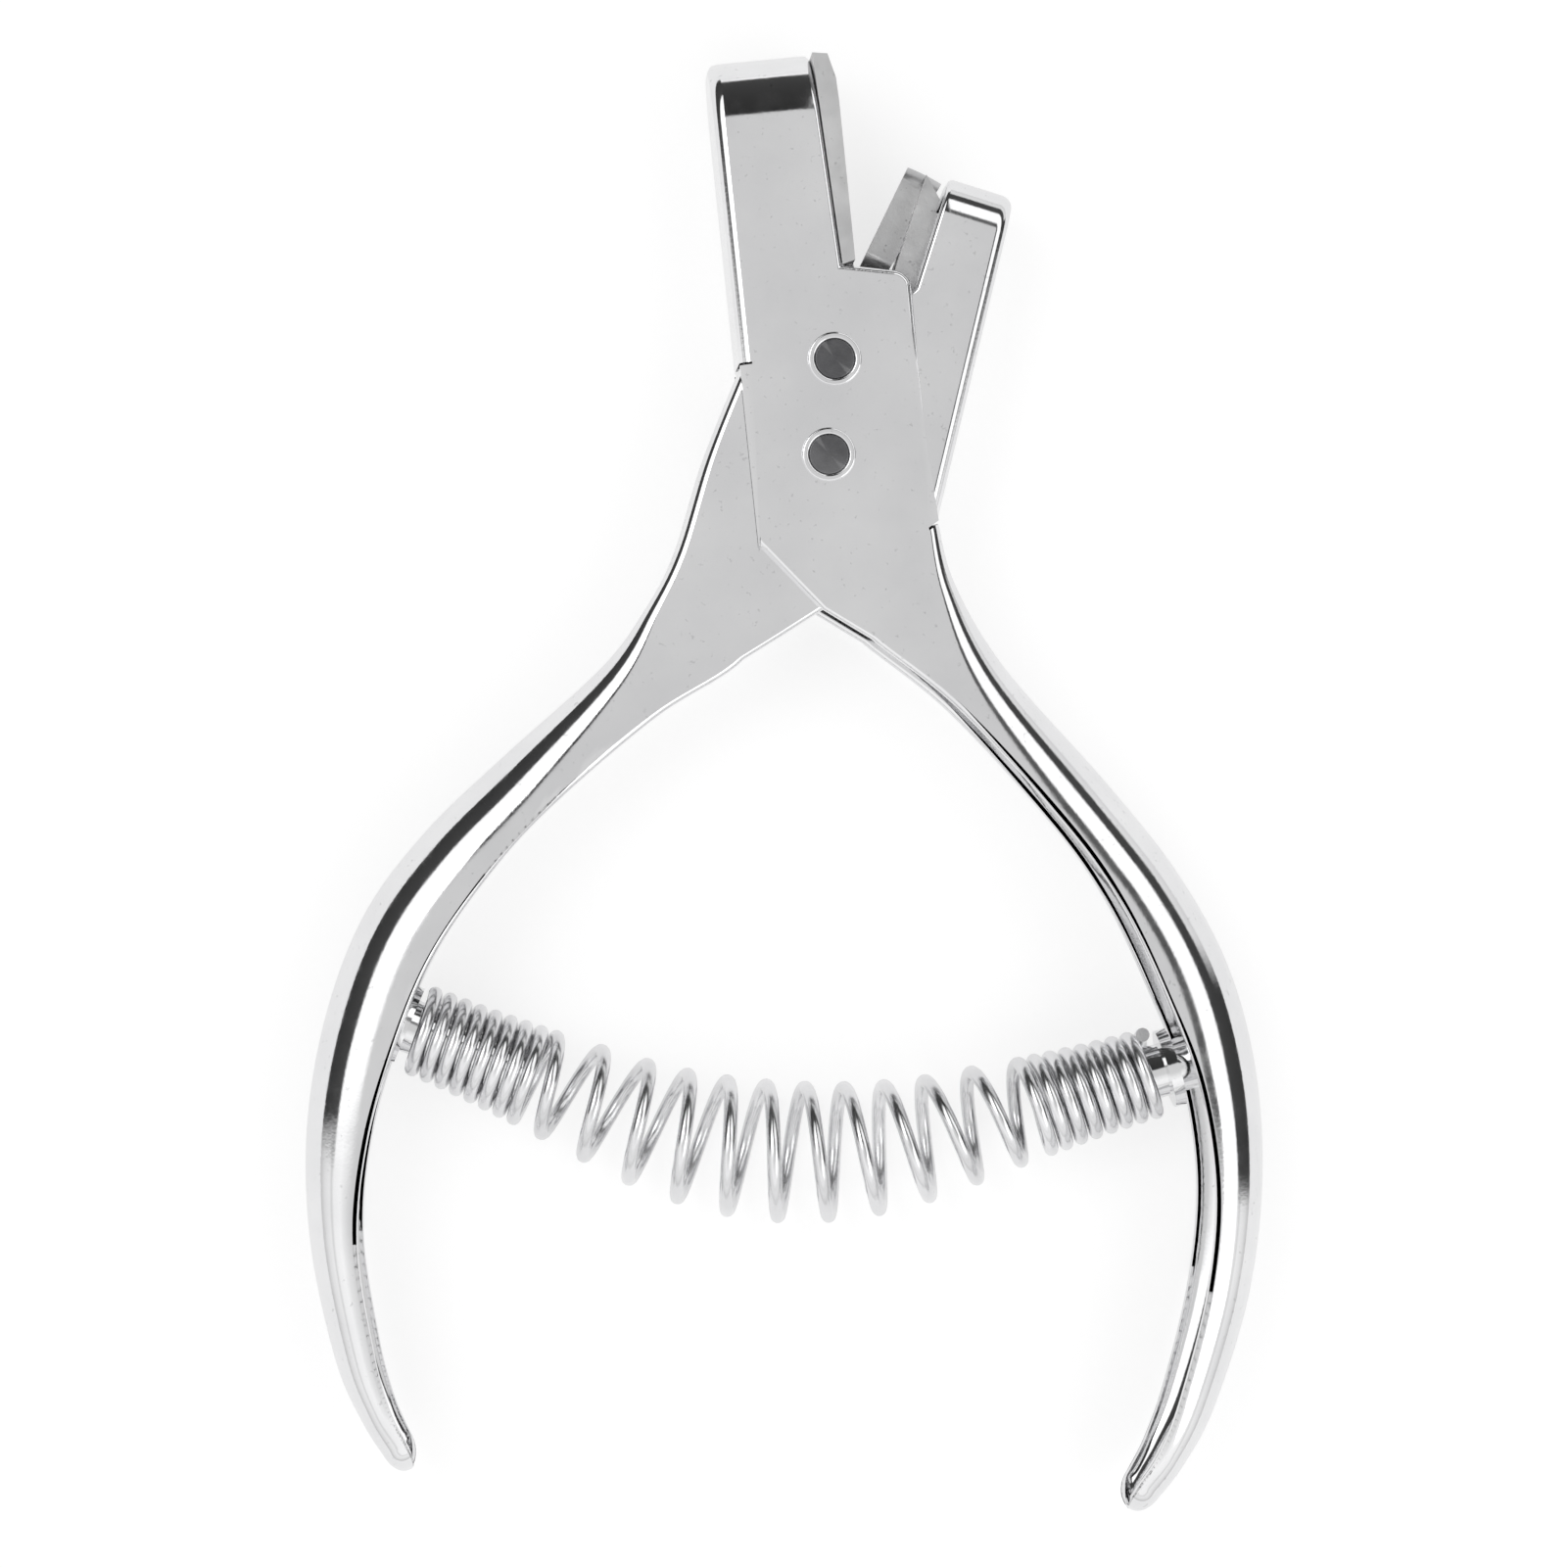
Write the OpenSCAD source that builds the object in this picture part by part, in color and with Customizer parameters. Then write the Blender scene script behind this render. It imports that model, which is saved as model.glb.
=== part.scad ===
// Hand-held slot punch pliers: two nested sheet-steel levers on a pin, with a
// die plate in one jaw, a slot punch in the other and a coil spring that
// keeps the handles apart.
//
// Frame: the tool lies on its side. X runs across the handles, Y from the
// handle tips to the jaws, Z up through the thickness. The origin is on the
// pivot axis, on the surface that the rear pivot collar rests on.
// The levers are drawn with the jaws open, as the spring holds them.

/* [Levers] */
// Depth of the die lever over its front and rear plates
tool_depth = 14.8; // [14.4:0.1:15.2]
// Thickness of the lever sheet steel
sheet_t = 1.2; // [1:0.1:1.3]
// Gap between a die lever plate and the punch lever plate inside it
plate_gap = 0.4; // [0.35:0.05:0.5]
// Length of the die jaw from the pivot to its top wall
die_jaw_len = 32.7; // [31:0.1:33]
// Length of the punch jaw from the pivot to its top wall
punch_jaw_len = 22.4; // [21.6:0.2:22.6]

/* [Pivot and stop] */
// Diameter of the pivot pin and of the stop pin
pin_d = 4.2; // [3.8:0.1:4.4]
// Outer diameter of the collars round the pin ends
collar_d = 5.6; // [5.2:0.1:6]
// Height of the collars above the plates
collar_h = 0.5; // [0.4:0.1:0.8]
// Distance from the pivot to the stop pin
stop_r = 10; // [9.5:0.1:10.5]
// Angle that the punch lever turns through from open to closed
close_deg = 23; // [20:1:23]

/* [Punch and die] */
// Distance from the pivot axis to the die face, and to the punch holder face
face_offset = 3.2; // [3:0.1:3.4]
// Width of the slot that the punch cuts
slot_w = 4; // [3:0.2:4.4]
// Clearance between the punch and the die slot, each side
die_clearance = 0.08; // [0.05:0.01:0.15]

/* [Spring] */
// Diameter of the spring wire
wire_d = 1.5; // [1.2:0.1:1.6]
// Outer diameter of the spring at its ends
spring_end_d = 9.8; // [9.4:0.1:10]
// Outer diameter of the spring at its middle
spring_mid_d = 15.2; // [14:0.2:15.4]
// Close-wound turns at each end
tight_turns = 8; // [6:1:8]
// Open turns between them
open_turns = 11; // [10:1:12]

/* [Hidden] */

$fn = 64;
half = tool_depth / 2;                      // half depth of the die lever
inner_half = half - sheet_t - plate_gap;    // half depth of the punch lever
inner_room = inner_half - sheet_t;          // half depth inside the punch lever
mid_z = half + collar_h;                    // height of the middle plane
running = 0.05;                             // radial clearance of a running fit
snug = 0.03;                                // gap between pieces fitted together
far = 60;                                   // larger than any head outline

// Die lever, angles and offsets about the pivot
die_lean = 9.5;        // lean of the die jaw's back, to the left
die_back = 9.9;        // from the pivot to the outside of that back
die_web_end = 0.6;     // where the back ends, along the jaw
die_back_r = 1.3;      // bend radius of the back corners
die_top_r = 7.3;       // bend radius of the top corners
notch_y = 9.9;         // height of the step beside the die plate
shoulder_r = 1.9;      // rounding of the step's outer corner
shoulder = [5.7, 7.8]; // centre of that rounding

// Punch lever
punch_top_lean = -13.5;   // lean of the jaw's top wall and open edge
punch_back_lean = -10;    // lean of the jaw's back
punch_back = 14.6;        // from the pivot to the outside of that back
punch_back_r = 1.3;
punch_top_r = 4.2;
hub_r = 8.3;              // rounding of the plates about the pivot
heel_r = 19.2;            // rounding of the plates below the pivot

// Punch, holder and die
holder_lean = -14.7;      // lean of the holder face when open
punch_r1 = 10.5;          // nearest and furthest cut of the punch, from the pivot
punch_r2 = 22.6;
punch_root = 62;          // angle at which the punch ends, inside the holder
punch_start = 85;         // angle of the punch's blank before its cutting end is slanted
die_face_lean = 9.3;      // lean of the die face
tongue_half = inner_room - 0.3;
die_screw_y = 23.7;       // die screws, along the die face
die_screw_z = 3.6;        // and either side of the middle plane
holder_screw_y = [11.5, 16];
slug_clearance = 0.4;     // round the punch's path behind the die plate
screw_d = 2.5;
screw_head_d = 4.2;
screw_head_h = 1;

// Handles
embed = 0.02;             // how far a handle lies inside the head's sheet
arc_steps = 4;            // facets round each back corner of a handle
span_steps = 3;           // cross-sections between two stations

// Handle stations: [outer x, outer y, inner x, inner y, half depth, corner radius]
// From below the swell of the grip to the tip, the same for both handles
grip = [
    [49.0, -96.0, 43.9, -95.0, half, 5.4],
    [45.6, -108.0, 41.5, -106.3, 6.8, 4.6],
    [42.4, -114.2, 39.5, -112.3, 6.2, 3.6],
    [40.0, -117.7, 37.5, -116.0, 5.0, 3.0]
];
// From the die lever's head to below the swell
right_neck = [
    [12.0, -16.4, 1.5, -25.2, half - embed, 1.3],
    [14.2, -22.6, 5.6, -28.9, half - embed, 2.0],
    [20.2, -31.0, 15.4, -35.8, half, 4.2],
    [32.1, -42.6, 27.3, -47.2, half, 6.1],
    [40.1, -51.5, 33.6, -55.1, half, 6.3],
    [45.9, -61.0, 38.5, -64.2, half, 6.4],
    [49.2, -72.0, 42.4, -73.4, half, 6.3],
    [50.2, -84.0, 44.4, -84.2, half, 5.8]
];
// From the punch lever's head to below the swell, given for the right-hand side
left_neck = [
    [9.75, -1.45, 4.8, -0.6, inner_half - embed, 1.2],
    [12.9, -11.0, 6.5, -10.5, inner_half - embed, 1.2],
    [15.3, -20.9, 3.4, -24.0, inner_half - embed, 1.2],
    [18.1, -27.2, 7.4, -31.8, inner_half, 1.6],
    [22.3, -33.6, 16.3, -38.5, 6.3, 3.2],
    [31.9, -43.4, 26.7, -48.6, 7.0, 5.6],
    [39.7, -51.9, 32.7, -56.1, half, 6.3],
    [45.6, -61.0, 37.9, -64.8, half, 6.5],
    [49.0, -72.0, 41.1, -73.8, half, 6.4],
    [50.2, -84.0, 43.5, -84.2, half, 6.0]
];
// The right handle swings outwards a little below the neck
swing_deg = 1.8;
swing_at = [44, -56];

// Spring
leg_slope = 19.4;         // slope of the spring's straight legs
bow_x = 17;               // where the legs meet the bow, either side of the middle
bow_bottom = -83.5;         // lowest point of the spring's axis
spring_end_x = 39;        // end of the spring, either side of the middle
spring_sides = 6;
turn_steps = 12;
peg_d = 5.7;
peg_collar_d = 8.4;
peg_collar_h = 1.2;
peg_reach = 8;            // from the spring end to the inside of the handle

// ---------------------------------------------------------------- helpers

// A point turned by a degrees about the pivot
function turned(p, a) = [p.x * cos(a) - p.y * sin(a), p.x * sin(a) + p.y * cos(a)];
// Points on a circle of radius r about c, from angle a to angle b
function arc(c, r, a, b, n) = [for (i = [0:n]) c + r * [cos(a + (b - a) * i / n), sin(a + (b - a) * i / n)]];
// One value of a smooth curve through q, r between neighbours p and s
function smooth(p, q, r, s, t) =
    0.5 * (2 * q + (r - p) * t + (2 * p - 5 * q + 4 * r - s) * t * t + (3 * q - p - 3 * r + s) * t * t * t);
function clamp_index(i, n) = min(max(i, 0), n - 1);
// A right-hand station, swung outwards when it lies below the neck
function swung(p) = swing_at + turned(p - swing_at, p.y < swing_at.y ? swing_deg : 0);
function swung_row(row) = concat(swung([row[0], row[1]]), swung([row[2], row[3]]), row[4], row[5]);
// A list of rows, with steps smooth rows worked out between each two
function smooth_rows(rows, steps) = let (n = len(rows)) concat(
    [for (i = [0:n - 2], k = [0:steps - 1])
        smooth(rows[clamp_index(i - 1, n)], rows[i], rows[i + 1], rows[clamp_index(i + 2, n)], k / steps)],
    [rows[n - 1]]);
// The last station, closed to a rounded tip in four steps
function tip_rows(row) = let (
    o = [row[0], row[1]], i = [row[2], row[3]], c = (o + i) / 2, w = o - i,
    along = [-w.y, w.x] / norm(w) * (w.x > 0 ? -1 : 1))
    [for (a = [30, 55, 75, 88])
        let (m = c + along * 2.8 * sin(a), h = w / 2 * cos(a))
        [m.x + h.x, m.y + h.y, m.x - h.x, m.y - h.y, row[4] * cos(a), row[5] * cos(a)]];

// One U-shaped ring of a handle: the outside from front edge to rear edge,
// then the inside back again
function u_ring(row) = let (
    o = [row[0], row[1]], i = [row[2], row[3]], w = norm(i - o), u = (i - o) / w, h = min(row[4], half),
    t = min(sheet_t - 2 * embed, w * 0.8, h * 0.8),
    ru = min(row[5], w * 0.9), rz = min(row[5], h),
    quarter = [for (k = [0:arc_steps]) 90 * k / arc_steps],
    side = concat([[w, h]], [for (a = quarter) [ru - ru * sin(a), h - rz + rz * cos(a)]]),
    shrink = [for (p = side) [min(t + p.x * (w - t) / w, w), p.y * (h - t) / h]],
    outside = concat(side, [for (k = [len(side) - 1:-1:0]) [side[k].x, -side[k].y]]),
    inside = concat(shrink, [for (k = [len(side) - 1:-1:0]) [shrink[k].x, -shrink[k].y]]))
    [for (p = concat(outside, [for (k = [len(inside) - 1:-1:0]) inside[k]]))
        [o.x + u.x * p.x, o.y + u.y * p.x, p.y]];

// A solid through closed rings of m points each; each end is a strip of quads
// when the ring doubles back on itself
module ring_solid(rings) {
    m = len(rings[0]);
    n = len(rings);
    points = [for (r = rings, p = r) p];
    walls = [for (j = [0:n - 2], k = [0:m - 1]) let (
        a = j * m + k, b = j * m + (k + 1) % m)
        each [[a, b, b + m], [a, b + m, a + m]]];
    start = [for (k = [0:m / 2 - 2]) each [[k, m - 1 - k, m - 2 - k], [k, m - 2 - k, k + 1]]];
    finish = [for (f = start) [for (v = [2, 1, 0]) f[v] + (n - 1) * m]];
    polyhedron(points, concat(walls, start, finish), convexity = 8);
}

module handle(rows) {
    path = concat(smooth_rows(rows, span_steps), tip_rows(rows[len(rows) - 1]));
    ring_solid([for (row = path) u_ring(row)]);
}

// A plate outline raised to a depth, centred on the middle plane
module slab(outline, h) {
    linear_extrude(2 * h, center = true) polygon(outline);
}

// A bar of depth 2h along a jaw, ending at top with rounded edges of radius r
module topped_bar(lean, top, h, r) {
    rotate([0, 0, lean]) rotate([90, 0, 90])
        linear_extrude(2 * far, center = true) {
            translate([top - far - r, -h]) square([far, 2 * h]);
            translate([top - far, r - h]) square([far, 2 * (h - r)]);
            for (s = [-1, 1]) translate([top - r, s * (h - r)]) circle(r);
        }
}

// A bar of depth 2h that starts at a jaw's back with rounded edges of radius r.
// side is 1 when the bar lies to the right of its back.
module backed_bar(lean, back, h, r, side) {
    rotate([0, 0, lean]) rotate([90, 0, 0])
        linear_extrude(2 * far, center = true) scale([side, 1]) {
            translate([back + r, -h]) square([far, 2 * h]);
            translate([back, r - h]) square([far, 2 * (h - r)]);
            for (s = [-1, 1]) translate([back + r, s * (h - r)]) circle(r);
        }
}

// Everything on one side of a line across a jaw
module beyond(lean, y, h) {
    rotate([0, 0, lean]) translate([-far, y, -h]) cube([2 * far, far, 2 * h]);
}

module bore(r, h) {
    cylinder(h = 2 * h, r = r, center = true);
}

// ---------------------------------------------------------------- levers

// Open edge of the die jaw, from the notch to beyond the top wall
die_edge = [[0.2, notch_y], turned([0.9, die_jaw_len + 1], die_lean)];
// A point on that edge, a part t of the way up
function on_die_edge(t) = die_edge[0] * (1 - t) + die_edge[1] * t;

die_outline = concat(
    [turned([-die_back - 1, die_jaw_len + 1], die_lean), die_edge[1], die_edge[0]],
    arc(shoulder, shoulder_r, 90, 10, 6),
    [[9.9, -7.1], [12.0, -16.4], [12.5, -18.2], [2.4, -27.4], [0.4, -26.2], [-6.1, -20.3],
     turned([-die_back, -20.2], die_lean), turned([-die_back, 0], die_lean)]);

module die_lever() {
    color("silver") translate([0, 0, mid_z]) difference() {
        union() {
            difference() {
                intersection() {
                    slab(die_outline, half);
                    topped_bar(die_lean, die_jaw_len, half, die_top_r);
                    union() {
                        backed_bar(die_lean, -die_back, half, die_back_r, 1);
                        rotate([0, 0, die_lean]) translate([-far, -far, -half]) cube([2 * far, far, 2 * half]);
                    }
                }
                intersection() {
                    topped_bar(die_lean, die_jaw_len - sheet_t, half - sheet_t, die_top_r - sheet_t);
                    union() {
                        backed_bar(die_lean, sheet_t - die_back, half - sheet_t, die_back_r - sheet_t, 1);
                        rotate([0, 0, die_lean])
                            translate([-far, die_web_end - far, sheet_t - half])
                                cube([2 * far, far, 2 * (half - sheet_t)]);
                    }
                }
            }
            handle([for (row = concat(right_neck, grip)) swung_row(row)]);
        }
        bore(pin_d / 2, far);
        translate([0, -stop_r]) bore(pin_d / 2, far);
    }
}

punch_outline = concat(
    [turned([6.1, punch_jaw_len + 1], punch_top_lean), [8.1, 8.2], [5.7, 6.0]],
    arc([0, 0], hub_r, 50, 186, 12),
    [[-9.5, -1.2], [-12.6, -11], [-15, -20.9], [-17.4, -26.6], [-7.6, -31.3], [-4, -29.4],
     [0.4, -26.2], [1.4, -25.4]],
    arc([0, 0], heel_r, -86.5, -54, 6),
    [turned([punch_back + 1, -13.4], punch_back_lean), turned([punch_back + 1, far], punch_back_lean)]);

module punch_lever() {
    pin_slot_r = pin_d / 2 + 0.15;
    color("silver") translate([0, 0, mid_z]) difference() {
        union() {
            difference() {
                intersection() {
                    slab(punch_outline, inner_half);
                    topped_bar(punch_top_lean, punch_jaw_len, inner_half, punch_top_r);
                    backed_bar(punch_back_lean, -punch_back, inner_half, punch_back_r, -1);
                }
                intersection() {
                    topped_bar(punch_top_lean, punch_jaw_len - sheet_t, inner_room, punch_top_r - sheet_t);
                    backed_bar(punch_back_lean, sheet_t - punch_back, inner_room, punch_back_r - sheet_t, -1);
                }
            }
            mirror([1, 0, 0]) handle(concat(left_neck, grip));
        }
        bore(pin_d / 2 + running, far);
        // Arc slot that the stop pin runs in
        for (a = [-90, -90 - close_deg])
            rotate([0, 0, a]) translate([stop_r, 0]) bore(pin_slot_r - snug, half);
        rotate([0, 0, -90 - close_deg])
            rotate_extrude(angle = close_deg)
                translate([stop_r - pin_slot_r, -half]) square([2 * pin_slot_r, 2 * half]);
        // Seats of the holder screws
        holder_screw_places() screw_space(snug);
    }
}

// ---------------------------------------------------------------- pivot and stop

// A pin through both plates: its rear end is flush with the rear collar and its
// front end lies a little below the front one
module pin() {
    cylinder(h = 2 * mid_z - 0.1, d = pin_d);
}

module collars() {
    for (s = [0, 1])
        translate([0, 0, mid_z]) mirror([0, 0, s]) translate([0, 0, half])
            difference() {
                cylinder(h = collar_h, d = collar_d);
                translate([0, 0, -1]) cylinder(h = 3, d = pin_d);
            }
}

module sleeve() {
    translate([0, 0, mid_z]) difference() {
        cylinder(h = 2 * (inner_room - running), d = pin_d + 2, center = true);
        cylinder(h = far, d = pin_d + 2 * running, center = true);
    }
}

module pivot_pin() { color("dimgray") pin(); }
module pivot_collars() { color("silver") collars(); }
module pivot_sleeve() { color("gray") sleeve(); }
module stop_pin() { color("dimgray") translate([0, -stop_r]) pin(); }
module stop_collars() { color("silver") translate([0, -stop_r]) collars(); }
module stop_sleeve() { color("gray") translate([0, -stop_r]) sleeve(); }

// Thin washers between the lever plates
module pivot_washers() {
    color("gray") for (s = [0, 1])
        translate([0, 0, mid_z]) mirror([0, 0, s]) translate([0, 0, inner_half + running])
            difference() {
                cylinder(h = plate_gap - running, d = pin_d + 4);
                translate([0, 0, -1]) cylinder(h = 3, d = pin_d + 2 * running);
            }
}

// ---------------------------------------------------------------- die

// A slot-shaped cross-section swept about the pivot, from angle a to angle b
module swept_slot(grow, a, b) {
    w = slot_w / 2 + grow;
    rotate([0, 0, a]) rotate_extrude(angle = b - a) {
        translate([punch_r1 + slot_w / 2, -w]) square([punch_r2 - punch_r1 - slot_w, 2 * w]);
        for (r = [punch_r1 + slot_w / 2, punch_r2 - slot_w / 2]) translate([r, 0]) circle(w);
    }
}

// Countersunk hole for a screw, open above its head
module screw_space(grow) {
    translate([0, 0, -0.5]) cylinder(h = 0.5, r = screw_head_d / 2 + grow);
    cylinder(h = screw_head_h, r1 = screw_head_d / 2 + grow, r2 = screw_d / 2 + grow);
    cylinder(h = 6, r = screw_d / 2 + grow);
}

// Places of the die screws: heads flush with the die face, above the slot
module die_screw_places() {
    for (s = [-1, 1])
        rotate([0, 0, die_face_lean])
            translate([face_offset, die_screw_y, die_screw_z * s]) rotate([0, -90, 0]) children();
}

// Face of the die plate: straight over the slot, then bent back towards the top
die_face = [turned([face_offset, 10.1], die_face_lean), turned([face_offset, 26.6], die_face_lean),
            [-1.65, 29.3], [-2.7, 31.75]];
die_tongue = face_offset - 1.25;            // left side of the tongue, in the die face's frame

module die_plate() {
    color("dimgray") translate([0, 0, mid_z]) difference() {
        union() {
            slab(concat(die_face, [on_die_edge(0.93) + [snug, 0], on_die_edge(0) + [snug, snug]]), half);
            // Tongue below the notch, which closes the slot's lower end
            slab([for (p = [[face_offset, 10.2], [die_tongue, 10.2], [die_tongue, 8.6], [face_offset, 8.6]])
                  turned(p, die_face_lean)], tongue_half);
        }
        swept_slot(die_clearance, 75, 115);
        die_screw_places() screw_space(snug);
    }
}

// Block behind the die plate, inside the die jaw
module die_block() {
    block_half = half - sheet_t - snug;
    color("gray") translate([0, 0, mid_z]) difference() {
        slab([on_die_edge(0), on_die_edge(0.645), turned([-4.4, 25.2], die_lean),
              turned([-4.4, 10], die_lean)], block_half);
        swept_slot(slug_clearance, 60, 150);
        die_screw_places() screw_space(snug);
    }
}

module die_screws() {
    color("dimgray") translate([0, 0, mid_z]) die_screw_places() countersunk_screw();
}

// A countersunk screw with a cross slot; its head's top is at zero
module countersunk_screw() {
    difference() {
        union() {
            cylinder(h = screw_head_h, d1 = screw_head_d, d2 = screw_d);
            cylinder(h = 5.5, d = screw_d);
        }
        for (a = [0, 90]) rotate([0, 0, a]) translate([-1.2, -0.25, -1]) cube([2.4, 0.5, 1.5]);
    }
}

// ---------------------------------------------------------------- punch

module holder_screw_places() {
    for (y = holder_screw_y)
        rotate([0, 0, punch_back_lean]) translate([punch_back, y, 0]) rotate([0, -90, 0]) children();
}

// Block that fills the punch jaw and carries the punch
module punch_holder() {
    back = punch_back - sheet_t - snug;
    // Inside the jaw it stops short of the bend under the top wall
    step_x = 5.8;
    step_y = punch_jaw_len - punch_top_r - snug;
    color("darkgray") translate([0, 0, mid_z]) difference() {
        slab([turned([face_offset, 9.6], holder_lean), turned([back, 8.6], punch_back_lean),
              turned([back, 16.5], punch_back_lean), turned([step_x + 4, step_y], punch_top_lean),
              turned([step_x, step_y], punch_top_lean), turned([step_x, 19.6], punch_top_lean),
              turned([face_offset, 21.8], holder_lean)], inner_room - snug);
        swept_slot(0, punch_root, punch_start);
        holder_screw_places() screw_space(snug);
    }
}

// Slot punch: a swept bar whose cutting end slants back towards the tip
module punch() {
    shear = [[6.45, 20.3], [2.35, 10.3]];
    away = (shear[0] - shear[1]) / norm(shear[0] - shear[1]) * 10;
    color("darkgray") translate([0, 0, mid_z]) intersection() {
        swept_slot(0, punch_root, punch_start);
        slab([shear[0] + away, shear[1] - away, [20, 5], [20, 25]], slot_w);
    }
}

module holder_screws() {
    color("dimgray") translate([0, 0, mid_z]) holder_screw_places() countersunk_screw();
}

// ---------------------------------------------------------------- spring

bow_r = bow_x / sin(leg_slope);
leg_y = bow_bottom + bow_r * (1 - cos(leg_slope));
// Height of the spring's axis at x, and its slope there
function axis_y(x) = abs(x) < bow_x
    ? bow_bottom + bow_r - sqrt(bow_r * bow_r - x * x)
    : leg_y + (abs(x) - bow_x) * tan(leg_slope);
function axis_slope(x) = abs(x) < bow_x ? asin(x / bow_r) : leg_slope * sign(x);
// The barrel shape: outer diameter of the spring at x
function coil_d(x) = spring_end_d + (spring_mid_d - spring_end_d) * pow(cos(90 * x / 40), 2);

all_turns = 2 * tight_turns + open_turns;
tight_len = tight_turns * (wire_d + 0.1);
open_half = spring_end_x - tight_len;
// Distance along x after a number of turns from the left end
function coil_x(turn) =
    turn < tight_turns ? -spring_end_x + turn * tight_len / tight_turns
    : turn > all_turns - tight_turns ? spring_end_x - (all_turns - turn) * tight_len / tight_turns
    : -open_half + 2 * open_half * (turn - tight_turns) / open_turns;
function coil_point(turn) = let (
    x = coil_x(turn), r = (coil_d(x) - wire_d) / 2, a = 360 * turn, s = axis_slope(x))
    [x - sin(s) * r * cos(a), axis_y(x) + cos(s) * r * cos(a), r * sin(a)];

module handle_spring() {
    steps = all_turns * turn_steps;
    centre = [for (k = [0:steps]) coil_point(k / turn_steps)];
    rings = [for (k = [0:steps]) let (
        t = centre[min(k + 1, steps)] - centre[max(k - 1, 0)],
        d = t / norm(t), x = coil_x(k / turn_steps),
        out = centre[k] - [x, axis_y(x), 0], n0 = out - d * (out * d), n = n0 / norm(n0), b = cross(d, n))
        [for (i = [0:spring_sides - 1]) let (a = 360 * i / spring_sides)
            centre[k] + wire_d / 2 * (cos(a) * n + sin(a) * b)]];
    color("lightgray") translate([0, 0, mid_z]) ring_solid(rings);
}

// Turned peg on the inside of a handle's back; its collar sits at the channel's
// mouth and its stud fills the end of the spring
module peg() {
    end = [spring_end_x, axis_y(spring_end_x)];
    translate([end.x, end.y, mid_z]) rotate([0, 0, leg_slope]) rotate([0, 90, 0]) {
        translate([0, 0, -tight_len]) cylinder(h = tight_len + peg_reach, d = peg_d);
        translate([0, 0, peg_collar_h]) cylinder(h = peg_collar_h, d = peg_collar_d);
    }
}

module spring_peg_right() { color("silver") peg(); }
module spring_peg_left() { color("silver") mirror([1, 0, 0]) peg(); }

die_lever();
punch_lever();
pivot_pin();
pivot_collars();
pivot_sleeve();
pivot_washers();
stop_pin();
stop_collars();
stop_sleeve();
die_plate();
die_block();
die_screws();
punch_holder();
punch();
holder_screws();
handle_spring();
spring_peg_left();
spring_peg_right();
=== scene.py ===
"""Looks of the slot punch pliers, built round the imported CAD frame.

The tool lies on its side: X runs across the handles, Y towards the jaws, Z up.
Shapes are worked out in millimetres in the CAD's frame and stored in metres.
"""

import math

import bmesh
import bpy
from mathutils import Matrix, Vector, noise


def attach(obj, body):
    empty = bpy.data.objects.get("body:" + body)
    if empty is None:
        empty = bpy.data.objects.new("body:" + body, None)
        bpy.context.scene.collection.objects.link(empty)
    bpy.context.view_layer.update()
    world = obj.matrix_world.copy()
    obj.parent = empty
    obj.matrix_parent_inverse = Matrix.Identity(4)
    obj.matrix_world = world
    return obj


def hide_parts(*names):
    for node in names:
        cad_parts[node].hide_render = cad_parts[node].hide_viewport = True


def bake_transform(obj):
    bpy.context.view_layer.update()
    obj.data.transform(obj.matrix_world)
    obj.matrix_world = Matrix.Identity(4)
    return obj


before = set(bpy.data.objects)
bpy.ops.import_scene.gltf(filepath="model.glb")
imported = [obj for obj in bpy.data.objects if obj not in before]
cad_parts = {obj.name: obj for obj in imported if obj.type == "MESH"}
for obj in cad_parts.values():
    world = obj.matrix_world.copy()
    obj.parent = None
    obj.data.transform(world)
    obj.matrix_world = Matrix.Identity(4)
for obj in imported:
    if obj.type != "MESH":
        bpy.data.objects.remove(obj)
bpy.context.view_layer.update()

MM = 0.001
DIE_BODY = "die_side"
PUNCH_BODY = "punch_side"

# Sizes of the levers in millimetres, as in the CAD model
HALF = 7.4                  # half depth of the die lever
SHEET = 1.2                 # thickness of the sheet
GAP = 0.4                   # between the plates of the two levers
INNER_HALF = HALF - SHEET - GAP
PIN_R = 2.1
COLLAR_R = 2.8
COLLAR_H = 0.5
MID = HALF + COLLAR_H       # height of the middle plane
STOP_R = 10.0

# Finer sizes of this model, in millimetres
EDGE_R = 0.55               # rounding of the sheet's cut edges
BACK_R = 1.3                # bend radius along the jaws' backs
PIN_INSET = 0.1             # from the full depth down to the pins' front ends
COLLAR_INSET = 0.005        # from the full depth down to the front collars
PIN_ROUNDING = 0.18
COLLAR_ROUNDING = 0.2
RING_GAP = 0.02             # from a pin to the collar round it


def turned(p, degrees):
    """A point turned about the pivot."""
    c, s = math.cos(math.radians(degrees)), math.sin(math.radians(degrees))
    return (p[0] * c - p[1] * s, p[0] * s + p[1] * c)


def arc(centre, radius, start, end, steps):
    """Points on a circle, angles in degrees."""
    angles = [math.radians(start + (end - start) * k / steps) for k in range(steps + 1)]
    return [(centre[0] + radius * math.cos(a), centre[1] + radius * math.sin(a)) for a in angles]


def smooth_rows(rows, steps):
    """Catmull-Rom rows through the given rows."""
    out = []
    last = len(rows) - 1
    for i in range(last):
        p, q, r, s = (rows[min(max(k, 0), last)] for k in (i - 1, i, i + 1, i + 2))
        for k in range(steps):
            t = k / steps
            out.append([
                0.5 * (2 * b + (c - a) * t + (2 * a - 5 * b + 4 * c - d) * t * t
                       + (3 * b - a - 3 * c + d) * t ** 3)
                for a, b, c, d in zip(p, q, r, s)
            ])
    out.append(list(rows[last]))
    return out


# ------------------------------------------------------------------ sheet-metal levers

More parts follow.
